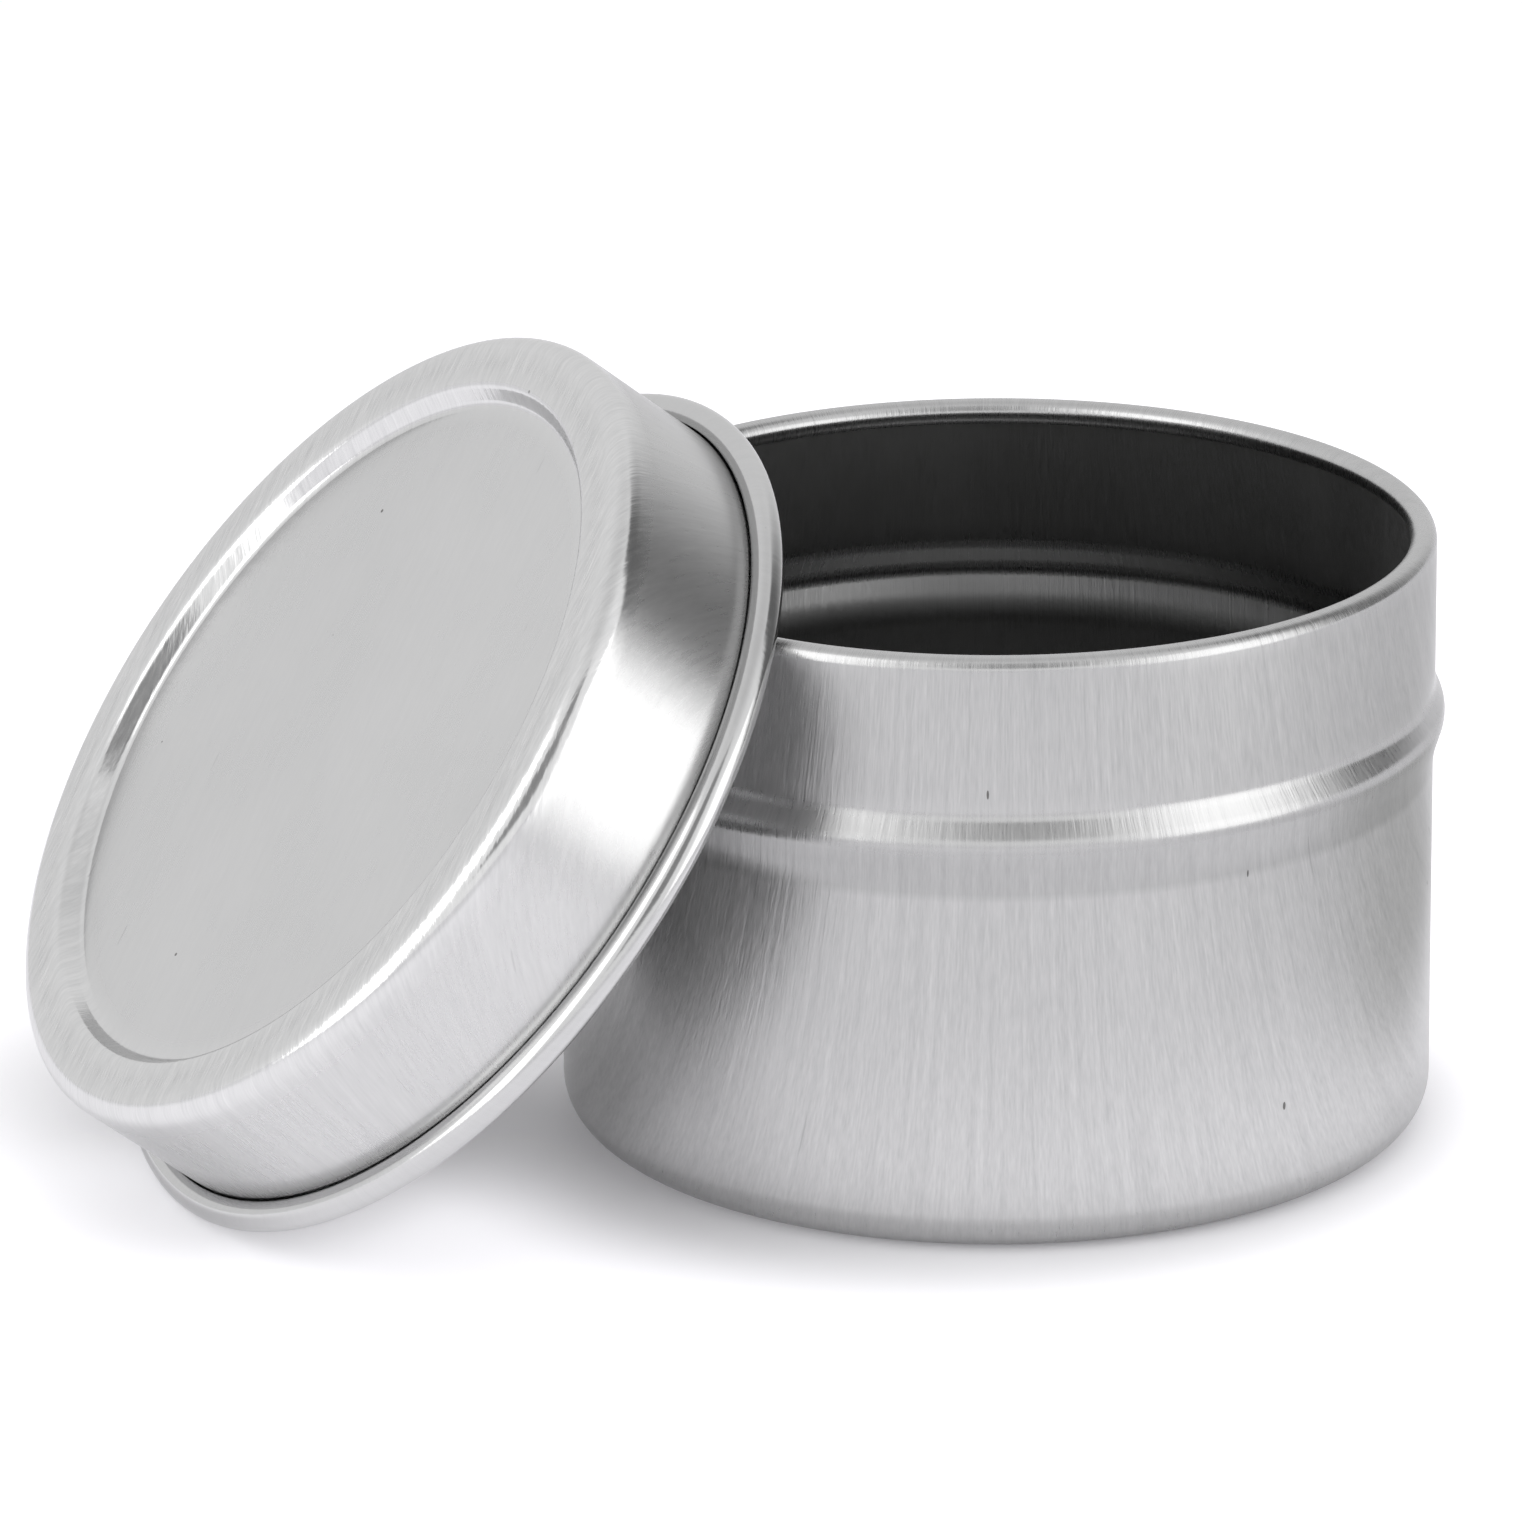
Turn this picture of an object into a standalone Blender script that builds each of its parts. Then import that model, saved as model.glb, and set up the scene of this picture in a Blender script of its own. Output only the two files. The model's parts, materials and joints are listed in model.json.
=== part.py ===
"""A slip-lid candle tin with its lid off and leaning on it: two pieces, each one sheet of drawn tinplate.

Units are metres, +Z is up. The origin is the centre of the tin's base. The lid leans towards -X, with its top
facing away from the tin, its curled edge standing on the ground and hooked against the tin's rim.

Each piece is drawn as the outer line of its sheet, as (radius, height) points from the axis outwards. A Screw
modifier turns the line about Z, and a Solidify modifier gives it the sheet's thickness on its inner side.
"""

from math import cos, radians, sin

import bpy

MM = 0.001

SHEET = 0.25 * MM
SEGMENTS = 64
MERGE_DISTANCE = 0.02 * MM

# Both rolled edges turn the same way round, and stop short of the wall they roll back to.
ROLL_TURN = 292.5
ROLL_STEPS = 13

# The tin: a 2.5 in body, 1.75 in tall.
BODY_RADIUS = 31.75 * MM
BODY_HEIGHT = 44.45 * MM
BASE_CORNER = 3.0 * MM
NECK_RADIUS = 31.85 * MM
BEAD_LOW = 26.9 * MM
BEAD_CREST = 30.8 * MM
BEAD_HIGH = 32.8 * MM
BEAD_DEPTH = 0.85 * MM
RIM_ROLL = 1.05 * MM

# The lid, drawn with its open edge down and its axis on Z.
LID_CLEARANCE = 0.15 * MM
LID_RADIUS = NECK_RADIUS + LID_CLEARANCE + SHEET
LID_HEIGHT = 14.1 * MM
LID_SHOULDER = 2.0 * MM
PANEL_RADIUS = 26.8 * MM
RING_INNER_RADIUS = 27.7 * MM
PANEL_DEPTH = 1.5 * MM
CURL_ROLL = 1.15 * MM

# Where the lid leans: how far it is turned from lying flat, and where the centre of its open edge is.
LEAN = radians(51.2)
LEAN_X = -40.1 * MM
LEAN_Y = 4.4 * MM
GROUND_GAP = 0.03 * MM

TINPLATE = {"color": (0.60, 0.60, 0.61), "metallic": 1.0, "roughness": 0.34}
LID_TINPLATE = {"color": (0.66, 0.66, 0.66), "metallic": 1.0, "roughness": 0.30}


def clear_scene():
    for item in list(bpy.data.objects):
        bpy.data.objects.remove(item, do_unlink=True)


def arc(centre, radius, start, end, steps):
    """Points (radius, height) round a centre, from one angle to another in degrees, both ends included."""
    turns = [radians(start + (end - start) * i / steps) for i in range(steps + 1)]
    return [(centre[0] + radius * cos(turn), centre[1] + radius * sin(turn)) for turn in turns]


def bead_line():
    """The stop bead: a soft slope from the wall up to its crest, then a straight one back to the neck."""
    rising = [(BODY_RADIUS + BEAD_DEPTH * share**1.3, BEAD_LOW + share * (BEAD_CREST - BEAD_LOW))
              for share in (0, 0.25, 0.6, 0.85, 1)]
    return rising + [(NECK_RADIUS, BEAD_HIGH)]


def tin_line():
    corner = arc((BODY_RADIUS - BASE_CORNER, BASE_CORNER), BASE_CORNER, -90, 0, 5)
    rim = arc((NECK_RADIUS - RIM_ROLL, BODY_HEIGHT - RIM_ROLL), RIM_ROLL, 0, ROLL_TURN, ROLL_STEPS)
    return [(0, 0)] + corner + bead_line() + rim


def lid_line():
    shoulder_centre = (LID_RADIUS - LID_SHOULDER, LID_HEIGHT - LID_SHOULDER)
    curl_centre = (LID_RADIUS - SHEET + CURL_ROLL, CURL_ROLL)
    panel = [(0, LID_HEIGHT - PANEL_DEPTH), (PANEL_RADIUS, LID_HEIGHT - PANEL_DEPTH)]
    ring = [(RING_INNER_RADIUS, LID_HEIGHT)]
    shoulder = arc(shoulder_centre, LID_SHOULDER, 90, 0, 5)
    curl = arc(curl_centre, CURL_ROLL - SHEET, 180, 180 + ROLL_TURN, ROLL_STEPS)
    return panel + ring + shoulder + curl


def tinplate(name, look):
    material = bpy.data.materials.new(name)
    material.use_nodes = True
    shader = material.node_tree.nodes["Principled BSDF"]
    shader.inputs["Base Color"].default_value = (*look["color"], 1)
    shader.inputs["Metallic"].default_value = look["metallic"]
    shader.inputs["Roughness"].default_value = look["roughness"]
    return material


def turned_sheet(name, line, inside, material):
    """A round piece of sheet metal: its outer line turned about Z, thickened on the line's inside. That side is
    to the left or to the right of the way the line runs."""
    mesh = bpy.data.meshes.new(name)
    points = [(radius, 0, height) for radius, height in line]
    mesh.from_pydata(points, [(i, i + 1) for i in range(len(points) - 1)], [])
    piece = bpy.data.objects.new(name, mesh)
    bpy.context.scene.collection.objects.link(piece)
    mesh.materials.append(material)

    turn = piece.modifiers.new("turn", "SCREW")
    turn.axis = "Z"
    turn.steps = SEGMENTS
    turn.render_steps = SEGMENTS
    turn.use_merge_vertices = True
    turn.merge_threshold = MERGE_DISTANCE
    turn.use_smooth_shade = True
    turn.use_normal_flip = inside == "left"

    thickness = piece.modifiers.new("thickness", "SOLIDIFY")
    thickness.thickness = SHEET
    thickness.offset = -1
    thickness.use_even_offset = True
    return piece


def leaning_frame():
    """An empty at the centre of the lid's open edge, with its Z along the lid's axis."""
    curl_centre_radius = LID_RADIUS - SHEET + CURL_ROLL
    height = curl_centre_radius * sin(LEAN) + CURL_ROLL * (1 - cos(LEAN)) + GROUND_GAP
    frame = bpy.data.objects.new("lid_lean", None)
    frame.location = (LEAN_X, LEAN_Y, height)
    frame.rotation_euler = (0, -LEAN, 0)
    bpy.context.scene.collection.objects.link(frame)
    return frame


def main():
    clear_scene()
    turned_sheet("tin_body", tin_line(), "left", tinplate("tinplate_body", TINPLATE))
    lid = turned_sheet("lid", lid_line(), "right", tinplate("tinplate_lid", LID_TINPLATE))
    lid.parent = leaning_frame()


main()
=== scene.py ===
import json
from math import atan2, cos, pi, radians, sin, sqrt

import bpy
from mathutils import Matrix, Vector

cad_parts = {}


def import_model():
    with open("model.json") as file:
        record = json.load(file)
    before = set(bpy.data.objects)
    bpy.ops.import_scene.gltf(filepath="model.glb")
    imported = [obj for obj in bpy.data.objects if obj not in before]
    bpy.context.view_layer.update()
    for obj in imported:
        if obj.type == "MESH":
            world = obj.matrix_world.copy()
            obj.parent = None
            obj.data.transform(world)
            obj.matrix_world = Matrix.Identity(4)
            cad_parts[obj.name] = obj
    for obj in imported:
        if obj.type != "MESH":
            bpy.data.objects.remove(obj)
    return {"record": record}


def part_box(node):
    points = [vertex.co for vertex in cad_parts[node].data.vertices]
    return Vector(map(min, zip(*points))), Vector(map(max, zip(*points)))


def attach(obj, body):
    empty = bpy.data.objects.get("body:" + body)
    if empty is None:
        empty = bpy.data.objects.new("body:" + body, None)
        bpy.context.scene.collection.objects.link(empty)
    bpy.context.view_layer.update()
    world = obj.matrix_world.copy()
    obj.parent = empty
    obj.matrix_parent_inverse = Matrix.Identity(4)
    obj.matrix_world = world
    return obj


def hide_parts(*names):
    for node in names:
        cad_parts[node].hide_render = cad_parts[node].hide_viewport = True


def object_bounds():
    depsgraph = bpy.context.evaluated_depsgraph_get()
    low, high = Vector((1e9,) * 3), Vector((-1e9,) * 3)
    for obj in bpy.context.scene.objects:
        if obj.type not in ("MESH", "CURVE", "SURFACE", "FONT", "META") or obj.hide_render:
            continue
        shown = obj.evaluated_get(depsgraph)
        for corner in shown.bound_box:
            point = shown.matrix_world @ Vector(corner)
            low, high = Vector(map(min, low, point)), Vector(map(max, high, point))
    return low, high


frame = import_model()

cad_low, cad_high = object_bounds()

MM = 0.001

# ---------------------------------------------------------------- places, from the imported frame
mounts = {mount["name"]: mount for mount in frame["record"]["mounts"]}
_, tin_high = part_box("tin_body")
panel_centre = Vector(mounts["lid_panel"]["pos_m"])
lid_axis = Vector(mounts["lid_panel"]["axis"]).normalized()

# ---------------------------------------------------------------- sizes of the two pressings
SHEET = 0.25 * MM
BEAD_REACH = 0.87 * MM                       # from the lower wall out to the bead's crest
BODY_RADIUS = round(tin_high.x, 5) - BEAD_REACH
BODY_HEIGHT = round(tin_high.z, 5)
BASE_CORNER = 3.0 * MM
NECK_RADIUS = BODY_RADIUS + 0.1 * MM
BEAD_LOW = 27.8 * MM
BEAD_CREST = 30.8 * MM
BEAD_HIGH = 32.8 * MM
BEAD_CORNER = 0.97 * MM                      # how far out the crest would stand as a sharp corner
BEAD_BENDS = (1.3 * MM, 0.85 * MM, 0.45 * MM)  # reach of the bends below, on and above the crest
RIM_ROLL = 0.95 * MM                         # radius of the rolled rim
RIM_TURN = 292.5                             # degrees it rolls through

LID_GAP = 0.15 * MM                          # between the neck and the lid's wall
LID_RADIUS = NECK_RADIUS + LID_GAP + SHEET
LID_HEIGHT = 14.1 * MM
LID_SHOULDER = 1.7 * MM
PANEL_RADIUS = 26.8 * MM
RING_INNER_RADIUS = 27.7 * MM
PANEL_DEPTH = 1.5 * MM
PANEL_BENDS = (0.4 * MM, 0.5 * MM)           # reach of the bends at the foot and the top of the panel's step
CURL_ROLL = 1.15 * MM                        # radius of the lid's curl
CURL_TURN = 316                              # degrees it rolls through

# Painted reflection and shade up each wall, as (height, factor on the metal's colour) pairs: the tin's lower
# wall is painted lighter like a reflection of the bright table, the bead's lower slope and the lid's wall
# darker.
TIN_PAINTED_SHADING = ((0, 1.0), (3.0 * MM, 1.10), (9.0 * MM, 1.07), (18.0 * MM, 1.0), (26.6 * MM, 1.0),
             (27.0 * MM, 0.85), (30.5 * MM, 0.85), (30.9 * MM, 1.0), (BODY_HEIGHT, 0.99))
LID_PAINTED_SHADING = ((0, 1.0), (2.4 * MM, 0.95), (11.5 * MM, 0.95), (LID_HEIGHT - 0.8 * MM, 1.0), (LID_HEIGHT, 1.0))

SEGMENTS = 288                               # around each pressing
ROLL_STEPS = 44                              # along each rolled edge, then each round corner and soft bend
CORNER_STEPS = 16
BEND_STEPS = 8
LONGEST_STEP = 1.2 * MM                      # along an outline
ON_AXIS = 1e-6                               # a ring closer to the axis than this is one point
NEAR_AXIS = 1.0 * MM                         # closer in than this, radii are not compared

TIN_BRUSH = radians(-112)                    # direction of the brushing on each flat blank
LID_BRUSH = radians(20)
WALL_STRETCH = 0.5                           # share of a wall's height that comes from stretching
INNER_SHIFT = 20 * MM                        # keeps the inner skin's pattern unlike the outer skin's


# ---------------------------------------------------------------- outlines
def arc(centre, radius, start, end, steps):
    turns = [radians(start + (end - start) * i / steps) for i in range(steps + 1)]
    return [(centre[0] + radius * cos(turn), centre[1] + radius * sin(turn)) for turn in turns]


def bent(line, reaches):
    """The line with its corners, from the second point on, softened over these reaches on either side."""
    out = [Vector(line[0])]
    for before, point, after, reach in zip(line, line[1:], line[2:], reaches):
        corner = Vector(point)
        back = (Vector(before) - corner).normalized() * reach
        on = (Vector(after) - corner).normalized() * reach
        for step in range(BEND_STEPS + 1):
            share = step / BEND_STEPS
            out.append(corner + back * (1 - share) ** 2 + on * share ** 2)
    return out + [Vector(point) for point in line[len(reaches) + 1:]]


def subdivided(line, longest):
    """The line with points added so that each stretch is about as long as longest, or shorter."""
    out = [Vector(line[0])]
    for start, end in zip(line, line[1:]):
        start, end = Vector(start), Vector(end)
        pieces = max(1, round((end - start).length / longest))
        out += [start.lerp(end, (k + 1) / pieces) for k in range(pieces)]
    return out


def tin_line():
    """Up the outside of the tin, from the middle of its base to the end of the rolled rim."""
    corner = arc((BODY_RADIUS - BASE_CORNER, BASE_CORNER), BASE_CORNER, -90, 0, CORNER_STEPS)
    wall = bent([corner[-1], (BODY_RADIUS, BEAD_LOW), (BODY_RADIUS + BEAD_CORNER, BEAD_CREST),
                 (NECK_RADIUS, BEAD_HIGH), (NECK_RADIUS, BODY_HEIGHT - RIM_ROLL)], BEAD_BENDS)
    rim = arc((NECK_RADIUS - RIM_ROLL, BODY_HEIGHT - RIM_ROLL), RIM_ROLL, 0, RIM_TURN, ROLL_STEPS)
    return [(0, 0)] + corner[:-1] + wall[:-1] + rim


def lid_line():
    """Out across the top of the lid and down its wall to the end of the curl."""
    panel = LID_HEIGHT - PANEL_DEPTH
    shoulder = arc((LID_RADIUS - LID_SHOULDER, LID_HEIGHT - LID_SHOULDER), LID_SHOULDER, 90, 0, CORNER_STEPS)
    top = bent([(0, panel), (PANEL_RADIUS, panel), (RING_INNER_RADIUS, LID_HEIGHT), shoulder[0]], PANEL_BENDS)
    curl_centre = (LID_RADIUS - SHEET + CURL_ROLL, CURL_ROLL)
    curl = arc(curl_centre, CURL_ROLL - SHEET, 180, 180 + CURL_TURN, ROLL_STEPS)
    return top[:-1] + shoulder + curl


def offset_line(line, distance):
    """The line moved to its left by distance, or to its right where distance is negative."""
    ways = [(b - a).normalized() for a, b in zip(line, line[1:])]
    sides = [Vector((-way.y, way.x)) for way in ways]
    moved = [line[0] + sides[0] * distance]
    for before, after, point in zip(sides, sides[1:], line[1:]):
        mitre = (before + after).normalized()
        moved.append(point + mitre * distance / max(mitre.dot(after), 0.5))
    moved.append(line[-1] + sides[-1] * distance)
    return [Vector((max(point.x, 0), point.y)) for point in moved]


# ---------------------------------------------------------------- turned sheet metal
def blank_radii(line):
    """Where each point of the outline lay on the flat round blank, and how far drawing lengthened it."""
    radii, lengthenings = [line[0].x], []
    for a, b in zip(line, line[1:]):
        kept = 1 - WALL_STRETCH * abs(b.y - a.y) / (b - a).length
        radii.append(sqrt(radii[-1] ** 2 + kept * (a.x + b.x) * (b - a).length))
        lengthenings.append(max(radii[-1], NEAR_AXIS) / max(b.x, NEAR_AXIS) / kept)
    return radii, lengthenings[:1] + lengthenings


def edge_shares(line, tight=2.0 * MM, spread=0.5 * MM):
    """How close each point is to a bend as tight as a rubbed edge, from 0 to 1."""
    bends = [0.0]
    for a, b, c in zip(line, line[1:], line[2:]):
        turn = (b - a).angle(c - b, 0.0)
        bends.append(min(1.0, turn / ((c - a).length / 2) * tight))
    bends.append(bends[-1])
    walked = [0.0]
    for a, b in zip(line, line[1:]):
        walked.append(walked[-1] + (b - a).length)
    return [max(bend * max(0.0, 1 - abs(there - here) / spread) for bend, there in zip(bends, walked))
            for here in walked]


def painted_shading_at(height, painted_shading_steps):
    """The painted reflection and shade at a height, as a factor on the metal's colour, straight between the
    (height, factor) pairs.
    """
    for (low, low_shading), (high, high_shading) in zip(painted_shading_steps, painted_shading_steps[1:]):
        if height <= high:
            return low_shading + (high_shading - low_shading) * max(0.0, height - low) / (high - low)
    return painted_shading_steps[-1][1]


def ring_faces(rings):
    """The faces between each ring and the next, where a ring is (its first point, how many points it has)."""
    faces = []
    for (a, a_count), (b, b_count) in zip(rings, rings[1:]):
        for k in range(SEGMENTS):
            after = (k + 1) % SEGMENTS
            if a_count > 1 and b_count > 1:
                faces.append((a + k, a + after, b + after, b + k))
            elif b_count > 1:
                faces.append((a, b + after, b + k))
            else:
                faces.append((a + k, a + after, b))
    return faces


def turned_sheet(name, outline, inside, brush, painted_shading_steps, place):
    """The outline turned about Z as a closed shell of sheet metal, then set in its place. The inner skin lies
    on the inside of the outline, its left or its right. The points carry the sheet's own coordinates along
    and across the brushing, the direction across it, what is inner skin, what is edge, and the painted
    reflection and shade that scales the metal's colour."""
    line = subdivided(outline, LONGEST_STEP)
    skin = offset_line(line, SHEET if inside == "left" else -SHEET)
    marks = list(zip(*blank_radii(line), edge_shares(line), [painted_shading_at(point.y, painted_shading_steps) for point in line]))
    loop = [(point, *mark, 0.0) for point, mark in zip(line, marks)]
    loop += [(point, *mark, 1.0) for point, mark in zip(skin, marks)][::-1]
    turn_of = [2 * pi * k / SEGMENTS for k in range(SEGMENTS)]

    verts, sheet, across, inner, edge_of, painted_shading_of, rings = [], [], [], [], [], [], []
    for index, (point, radius, lengthening, edge, painted_shading, is_inner) in enumerate(loop):
        before, after = loop[max(index - 1, 0)][0], loop[min(index + 1, len(loop) - 1)][0]
        way = (after - before).normalized() * (-1 if is_inner else 1)
        turns = turn_of if point.x > ON_AXIS else [0.0]
        rings.append((len(verts), len(turns)))
        narrowing = max(point.x, NEAR_AXIS) / max(radius, NEAR_AXIS)
        for turn in turns:
            outward = Vector((cos(turn), sin(turn), 0))
            around = Vector((-sin(turn), cos(turn), 0))
            along = outward * way.x + Vector((0, 0, way.y))
            grain = along * cos(brush - turn) * lengthening + around * sin(brush - turn) * narrowing
            verts.append(place @ (outward * point.x + Vector((0, 0, point.y))))
            sheet += [radius * cos(turn - brush), radius * sin(turn - brush), is_inner * INNER_SHIFT]
            across += list((place.to_3x3() @ along.cross(around).cross(grain)).normalized())
            inner.append(is_inner)
            edge_of.append(edge)
            painted_shading_of.append(painted_shading)

    faces = ring_faces(rings)
    mesh = bpy.data.meshes.new(name)
    mesh.from_pydata(verts, [], faces if inside == "left" else [face[::-1] for face in faces])
    mesh.shade_smooth()
    for key, values in (("sheet", sheet), ("across", across)):
        mesh.attributes.new(key, "FLOAT_VECTOR", "POINT").data.foreach_set("vector", values)
    for key, values in (("inner", inner), ("edge", edge_of), ("painted_shading", painted_shading_of)):
        mesh.attributes.new(key, "FLOAT", "POINT").data.foreach_set("value", values)
    piece = bpy.data.objects.new(name, mesh)
    bpy.context.scene.collection.objects.link(piece)
    return piece


# ---------------------------------------------------------------- materials
class Nodes:
    """A short way to write a node tree."""

    def __init__(self, tree):
        self.tree = tree

    def add(self, kind, inputs=(), **values):
        node = self.tree.nodes.new(kind)
        for key, value in values.items():
            setattr(node, key, value)
        for socket, source in dict(inputs).items():
            self.feed(node.inputs[socket], source)
        return node

    def feed(self, socket, source):
        if isinstance(source, bpy.types.NodeSocket):
            self.tree.links.new(source, socket)
        else:
            socket.default_value = source

    def math(self, operation, a, b=0.0, clamp=False):
        return self.add("ShaderNodeMath", {0: a, 1: b}, operation=operation, use_clamp=clamp).outputs[0]

    def vector(self, operation, a, b=(0, 0, 0)):
        """Vector maths that gives a number: a length, a distance or a dot product."""
        return self.add("ShaderNodeVectorMath", {0: a, 1: b}, operation=operation).outputs["Value"]

    def total(self, *values):
        out = values[0]
        for value in values[1:]:
            out = self.math("ADD", out, value)
        return out

    def times(self, a, b):
        return self.math("MULTIPLY", a, b)

    def noise(self, vector, scale, detail=2.0, roughness=0.5):
        """Smooth noise about 0, from about -0.5 to 0.5, with its own scale along each of the three axes."""
        stretched = self.add("ShaderNodeMapping", {"Vector": vector, "Scale": scale}).outputs[0]
        node = self.add("ShaderNodeTexNoise", {"Vector": stretched, "Scale": 1.0, "Detail": detail,
                                               "Roughness": roughness})
        return self.math("SUBTRACT", node.outputs["Fac"], 0.5)

    def ramp(self, value, start, end):
        """0 up to start and 1 from end, smooth between. Where start is above end, 1 below end."""
        return self.add("ShaderNodeMapRange", {"Value": value, "From Min": start, "From Max": end},
                        interpolation_type="SMOOTHSTEP").outputs[0]

    def mix(self, share, a, b):
        return self.add("ShaderNodeMix", {0: share, 2: a, 3: b}, data_type="FLOAT").outputs[0]

    def tint(self, share, a, b):
        return self.add("ShaderNodeMix", {0: share, 6: a, 7: b}, data_type="RGBA").outputs[2]

    def attribute(self, name, output="Fac"):
        return self.add("ShaderNodeAttribute", attribute_name=name).outputs[output]


def grey(level, warmth=0.0):
    return (level * (1 + warmth), level, level * (1 - warmth), 1)


# The sheet's patterns, in repeats per metre along the brushing, across it and through the sheet.
GRAIN_ACROSS = 5200
STREAKS = (110, 1500, 110)
NICKS = (210, 2300, 260)
CLOUDS = (90, 90, 90)
DRIFTS = (28, 28, 28)
SPECK_CELLS = 110.0
CLEAN_CELLS = 0.80                           # share of the cells that hold no speck
SPECK_SIZE = 0.08

UNDRAWN_GRAIN = 0.16                         # how much grain shows where the press leaves the blank untouched
UNDRAWN_EDGE = 0.4 * MM                      # how softly that part ends
WALL_STARTS = 31.5 * MM                      # radii on the blank between which the wall's own grain sets in
WALL_IS_FULL = 33.5 * MM
GRAIN_DEPTH = 0.014 * MM
SWELL_DEPTH = 0.06 * MM
SMOOTHEST = 0.08                             # the lowest roughness anywhere
METAL_TINT = 0.85                            # how light the metal stays at grazing angles


def tinplate(name, shade, inside_painted_shade, roughness, polish, contrast, wall_grain, grain_scale, flat_radius):
    """Brushed tinplate: grain that follows the drawn sheet, soft clouding, rubbed edges, specks and fine
    scratches. Inside flat_radius the press has left the blank untouched, so its grain is fainter, and
    wall_grain says how much of it drawing has left on the walls."""
    material = bpy.data.materials.new(name)
    material.use_nodes = True
    shader = material.node_tree.nodes["Principled BSDF"]
    n = Nodes(material.node_tree)
    sheet = n.attribute("sheet", "Vector")
    inner, edge = n.attribute("inner"), n.attribute("edge")
    flat = n.add("ShaderNodeVectorMath", {0: sheet, 1: (1, 1, 0)}, operation="MULTIPLY").outputs[0]
    from_axis = n.vector("LENGTH", flat)
    outside = n.ramp(from_axis, flat_radius - UNDRAWN_EDGE, flat_radius + UNDRAWN_EDGE)
    drawn = n.mix(outside, UNDRAWN_GRAIN, 1.0)
    drawn = n.times(drawn, n.mix(n.ramp(from_axis, WALL_STARTS, WALL_IS_FULL), 1.0, wall_grain))

    grain = n.times(drawn, n.noise(sheet, (grain_scale, GRAIN_ACROSS, grain_scale), 2.0, 0.6))
    streak = n.times(drawn, n.noise(sheet, STREAKS, 2.0, 0.5))
    cloud = n.noise(sheet, CLOUDS, 3.0, 0.55)
    drift = n.noise(sheet, DRIFTS, 1.0, 0.5)

    cell = n.add("ShaderNodeTexVoronoi", {"Vector": sheet, "Scale": SPECK_CELLS}, voronoi_dimensions="2D")
    chance = n.add("ShaderNodeSeparateColor", {0: cell.outputs["Color"]}).outputs[0]
    size = n.times(n.math("SUBTRACT", chance, CLEAN_CELLS, clamp=True), SPECK_SIZE)
    speck = n.math("LESS_THAN", cell.outputs["Distance"], size)
    nick = n.ramp(n.noise(sheet, NICKS, 0.0), 0.335, 0.36)

    light = n.total(n.times(grain, 0.5), n.times(streak, 0.35), n.times(cloud, 0.10), n.times(drift, 0.08))
    light = n.math("ADD", n.times(light, contrast), 0.5)
    metal = n.tint(light, grey(shade * 0.80, -0.004), grey(shade * 1.20, 0.004))
    metal = n.tint(n.times(edge, 0.4), metal, grey(min(1.0, shade * 1.12)))
    # Painted shade: the inner skin is darkened towards 0.68 of the base grey, as if the hollow lay in shadow.
    metal = n.tint(n.times(inner, inside_painted_shade), metal, grey(shade * 0.68))
    metal = n.tint(n.times(nick, 0.35), metal, grey(shade * 0.70))
    metal = n.tint(n.times(speck, 0.75), metal, grey(0.08, 0.05))
    # The metal's colour scaled by the painted reflection and shade given up the walls.
    shaded_metal = n.add("ShaderNodeVectorMath", {0: metal, "Scale": n.attribute("painted_shading")}, operation="SCALE")
    n.feed(shader.inputs["Base Color"], shaded_metal.outputs[0])

    rough = n.total(n.times(grain, 0.16), n.times(cloud, 0.08), n.times(edge, -polish), n.times(speck, 0.3),
                    roughness)
    n.feed(shader.inputs["Roughness"], n.math("MAXIMUM", rough, SMOOTHEST, clamp=True))

    relief = n.total(grain, n.times(streak, 1.8), n.times(nick, -0.6), n.times(speck, -1.0))
    bump = n.add("ShaderNodeBump", {"Strength": 1.0, "Distance": GRAIN_DEPTH, "Height": relief})
    waves = n.total(drift, n.times(cloud, 0.4))
    swell = n.add("ShaderNodeBump", {"Strength": 1.0, "Distance": SWELL_DEPTH, "Height": waves,
                                     "Normal": bump.outputs[0]})
    n.feed(shader.inputs["Normal"], swell.outputs[0])
    n.feed(shader.inputs["Tangent"], n.attribute("across", "Vector"))
    shader.inputs["Metallic"].default_value = 1.0
    shader.inputs["Anisotropic"].default_value = 0.5
    shader.inputs["Specular Tint"].default_value = grey(METAL_TINT)
    return material


# ---------------------------------------------------------------- the camera and the studio
CAMERA_AZIMUTH = radians(-22.651)
CAMERA_ELEVATION = radians(18.75)
CAMERA_ROLL = radians(-0.456)
CAMERA_DISTANCE = 768.2 * MM
CAMERA_TARGET = Vector((-17.28, 2.92, 27.74)) * MM
CAMERA_LENS = 251.2                          # for a sensor of this width, both in millimetres
CAMERA_SENSOR = 36

FLOOR_SIZE = 8.0
FLOOR_DROP = 0.02 * MM                       # keeps the floor clear of the tin's base
CARD_LIFT = 0.3 * MM                         # and a card clear of the floor

towards_camera = Vector((sin(CAMERA_AZIMUTH), -cos(CAMERA_AZIMUTH), 0))
right_of_camera = Vector((cos(CAMERA_AZIMUTH), sin(CAMERA_AZIMUTH), 0))


def level_direction(bearing):
    """A level unit vector: bearing 0 points from the object to the camera and 90 to the camera's right."""
    return towards_camera * cos(radians(bearing)) + right_of_camera * sin(radians(bearing))


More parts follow.
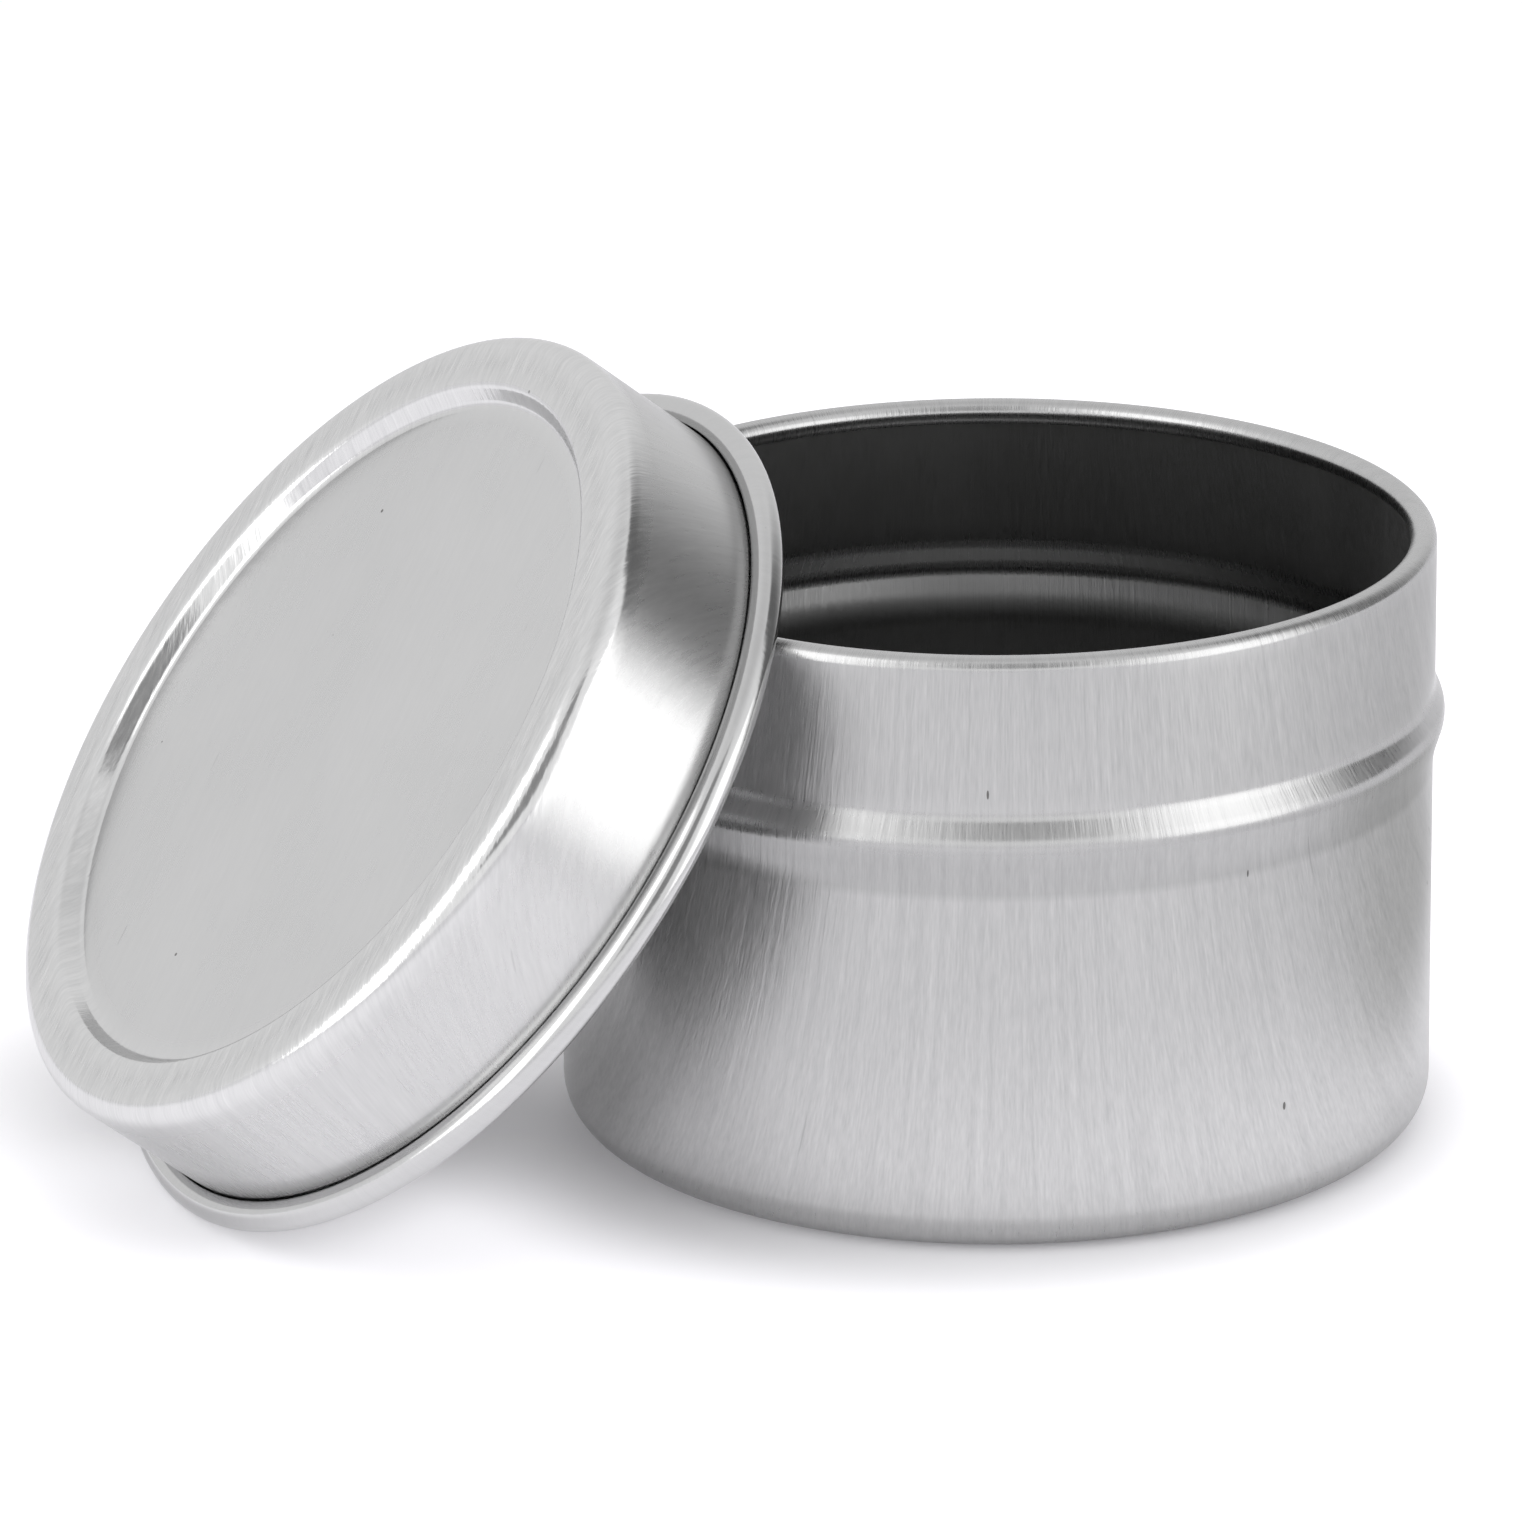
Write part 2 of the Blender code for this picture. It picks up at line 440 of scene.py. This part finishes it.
def camera():
    data = bpy.data.cameras.new("camera")
    data.lens = CAMERA_LENS
    data.sensor_width = CAMERA_SENSOR
    item = bpy.data.objects.new("camera", data)
    back = towards_camera * cos(CAMERA_ELEVATION) + Vector((0, 0, sin(CAMERA_ELEVATION)))
    turn = (Matrix.Rotation(CAMERA_AZIMUTH, 4, "Z") @ Matrix.Rotation(pi / 2 - CAMERA_ELEVATION, 4, "X")
            @ Matrix.Rotation(CAMERA_ROLL, 4, "Z"))
    item.matrix_world = Matrix.Translation(CAMERA_TARGET + back * CAMERA_DISTANCE) @ turn
    bpy.context.scene.collection.objects.link(item)
    bpy.context.scene.camera = item


def flat_mesh(name, width, height):
    mesh = bpy.data.meshes.new(name)
    x, y = width / 2, height / 2
    mesh.from_pydata([(-x, -y, 0), (x, -y, 0), (x, y, 0), (-x, y, 0)], [], [(0, 1, 2, 3)])
    item = bpy.data.objects.new(name, mesh)
    material = bpy.data.materials.new(name)
    material.use_nodes = True
    mesh.materials.append(material)
    bpy.context.scene.collection.objects.link(item)
    return item, material


def glossy_card(name, matrix, width, height, brightness, soft_side, soft_top, soft_foot=0.0):
    """A glowing card seen only in reflections. Its sides, top and foot fade out over shares of its half width
    and of its height."""
    item, material = flat_mesh(name, width, height)
    tree = material.node_tree
    tree.nodes.clear()
    n = Nodes(tree)
    place = n.add("ShaderNodeSeparateXYZ", {0: n.add("ShaderNodeTexCoord").outputs["Object"]}).outputs
    shown = n.ramp(n.math("ABSOLUTE", place["X"]), width / 2, width / 2 * (1 - soft_side))
    shown = n.times(shown, n.ramp(place["Y"], height / 2, height / 2 - height * soft_top))
    if soft_foot:
        shown = n.times(shown, n.ramp(place["Y"], -height / 2, height * soft_foot - height / 2))
    glow = n.add("ShaderNodeEmission", {"Color": (1, 1, 1, 1), "Strength": brightness})
    clear = n.add("ShaderNodeBsdfTransparent")
    blend = n.add("ShaderNodeMixShader", {0: shown, 1: clear.outputs[0], 2: glow.outputs[0]})
    n.add("ShaderNodeOutputMaterial", {"Surface": blend.outputs[0]})
    item.matrix_world = matrix
    item.visible_camera = False
    item.visible_diffuse = False
    item.visible_shadow = False


def softbox(name, bearing, distance, width, height, brightness, soft_side, soft_top):
    """An upright light panel that stands on the floor and faces the object."""
    away = level_direction(bearing)
    sideways = Vector((-away.y, away.x, 0))
    turn = Matrix((sideways, Vector((0, 0, 1)), sideways.cross(Vector((0, 0, 1))))).transposed().to_4x4()
    matrix = Matrix.Translation(away * distance + Vector((0, 0, height / 2))) @ turn
    glossy_card(name, matrix, width, height, brightness, soft_side, soft_top)


def grey_card(name, right, forward, width, depth, brightness):
    """A grey card that lies on the floor, so far to the camera's right and so far towards the camera."""
    centre = right_of_camera * right + towards_camera * forward + Vector((0, 0, CARD_LIFT))
    matrix = Matrix.Translation(centre) @ Matrix.Rotation(CAMERA_AZIMUTH, 4, "Z")
    glossy_card(name, matrix, width, depth, brightness, soft_side=0.6, soft_top=0.3, soft_foot=0.3)


def floor():
    """A pale matt table with painted light and shade: its glow is a painted pool of light, brightest near the
    tin and less to the right and further off, and painted shadows dim it against the tin's foot and under and
    beside the leaning lid."""
    item, material = flat_mesh("floor", FLOOR_SIZE, FLOOR_SIZE)
    shader = material.node_tree.nodes["Principled BSDF"]
    n = Nodes(material.node_tree)
    place = n.add("ShaderNodeTexCoord").outputs["Object"]
    right = n.vector("DOT_PRODUCT", place, right_of_camera)

    def from_point(point):
        return n.vector("DISTANCE", place, point)

    far_end = from_point(level_direction(180) * 60 * MM)
    tin_foot = from_point(level_direction(-45) * 3 * MM)
    lid_foot = from_point((-47 * MM, 24 * MM, 0))
    lid_heel = from_point((-62 * MM, 4 * MM, 0))

    # Painted light: a pool of glow brightest near the tin, dimmer further off and to the right.
    glow = n.mix(n.ramp(from_point((0, 0, 0)), 42 * MM, 78 * MM), 0.64, 0.47)
    glow = n.mix(n.ramp(far_end, 150 * MM, 290 * MM), glow, 0.20)
    glow = n.mix(n.ramp(right, 52 * MM, 90 * MM), glow, 0.20)
    # Painted shadows: the glow dips against the tin's foot, under the leaning lid and by its heel.
    glow = n.mix(n.ramp(tin_foot, BODY_RADIUS + 12 * MM, BODY_RADIUS - 3 * MM), glow, 0.14)
    glow = n.mix(n.ramp(lid_foot, 33 * MM, 12 * MM), glow, 0.04)
    glow = n.mix(n.ramp(lid_heel, 19 * MM, 4 * MM), glow, 0.27)
    shader.inputs["Base Color"].default_value = (0.88, 0.876, 0.89, 1)
    shader.inputs["Roughness"].default_value = 0.9
    shader.inputs["Specular IOR Level"].default_value = 0.0
    shader.inputs["Emission Color"].default_value = (1.0, 0.99, 1.03, 1)
    n.feed(shader.inputs["Emission Strength"], glow)
    item.location.z = min(cad_low.z, 0) - FLOOR_DROP


def world():
    """A light tent: bright in front, dimmer overhead, with a dark flag to the right and a dim gap at the
    camera."""
    data = bpy.data.worlds.new("studio")
    bpy.context.scene.world = data
    data.use_nodes = True
    tree = data.node_tree
    tree.nodes.clear()
    n = Nodes(tree)
    way = n.add("ShaderNodeTexCoord").outputs["Generated"]
    ahead = n.vector("DOT_PRODUCT", way, towards_camera)
    aside = n.vector("DOT_PRODUCT", way, right_of_camera)
    height = n.add("ShaderNodeSeparateXYZ", {0: way}).outputs["Z"]
    bearing = n.times(n.math("ARCTAN2", aside, ahead), 180 / pi)
    elevation = n.times(n.math("ARCSINE", height), 180 / pi)

    def patch(left, right, low, high, soft_left, soft_right, soft_up):
        """1 between these bearings and elevations, in degrees, fading to 0 over the soft ones."""
        sides = n.times(n.ramp(bearing, left - soft_left, left), n.ramp(bearing, right + soft_right, right))
        ends = n.times(n.ramp(elevation, low - soft_up, low), n.ramp(elevation, high + soft_up, high))
        return n.times(sides, ends)

    flag = patch(left=98, right=112, low=0, high=56, soft_left=10, soft_right=47, soft_up=10)
    gap = patch(left=-8, right=20, low=22, high=58, soft_left=7, soft_right=7, soft_up=9)
    level = n.mix(n.ramp(n.math("ABSOLUTE", bearing), 110, 70), 1.0, 1.2)
    level = n.mix(n.ramp(elevation, 45, 85), level, 0.85)
    level = n.mix(flag, level, 0.18)
    level = n.mix(gap, level, 0.38)
    glow = n.add("ShaderNodeBackground", {"Color": (1, 1, 1.005, 1), "Strength": level})
    n.add("ShaderNodeOutputWorld", {"Surface": glow.outputs[0]})


def studio():
    world()
    floor()
    softbox("softbox_right", bearing=56, distance=0.22, width=0.21, height=0.21, brightness=2.3,
            soft_side=0.6, soft_top=0.2)
    softbox("softbox_left", bearing=-52, distance=0.30, width=0.20, height=0.46, brightness=2.6,
            soft_side=0.3, soft_top=0.2)
    grey_card("grey_card", right=76 * MM, forward=-24 * MM, width=76 * MM, depth=90 * MM, brightness=0.74)


# ---------------------------------------------------------------- the object
lid_place = (Matrix.Translation(panel_centre) @ Matrix.Rotation(atan2(lid_axis.x, lid_axis.z), 4, "Y")
             @ Matrix.Translation((0, 0, PANEL_DEPTH - LID_HEIGHT)))

tin = turned_sheet("tin_shell", tin_line(), "left", TIN_BRUSH, TIN_PAINTED_SHADING, Matrix.Identity(4))
tin.data.materials.append(tinplate("tinplate_body", shade=0.45, inside_painted_shade=0.9, roughness=0.34, polish=0.06,
                                   contrast=2.0, wall_grain=1.0, grain_scale=1400, flat_radius=30.0 * MM))
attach(tin, "tin")
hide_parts("tin_body")

lid = turned_sheet("lid_shell", lid_line(), "right", LID_BRUSH, LID_PAINTED_SHADING, lid_place)
lid.data.materials.append(tinplate("tinplate_lid", shade=0.585, inside_painted_shade=0.3, roughness=0.28, polish=0.14,
                                   contrast=2.2, wall_grain=0.4, grain_scale=640, flat_radius=26.6 * MM))
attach(lid, "cover")
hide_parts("lid")

camera()
studio()
bpy.context.scene.view_settings.view_transform = "Standard"
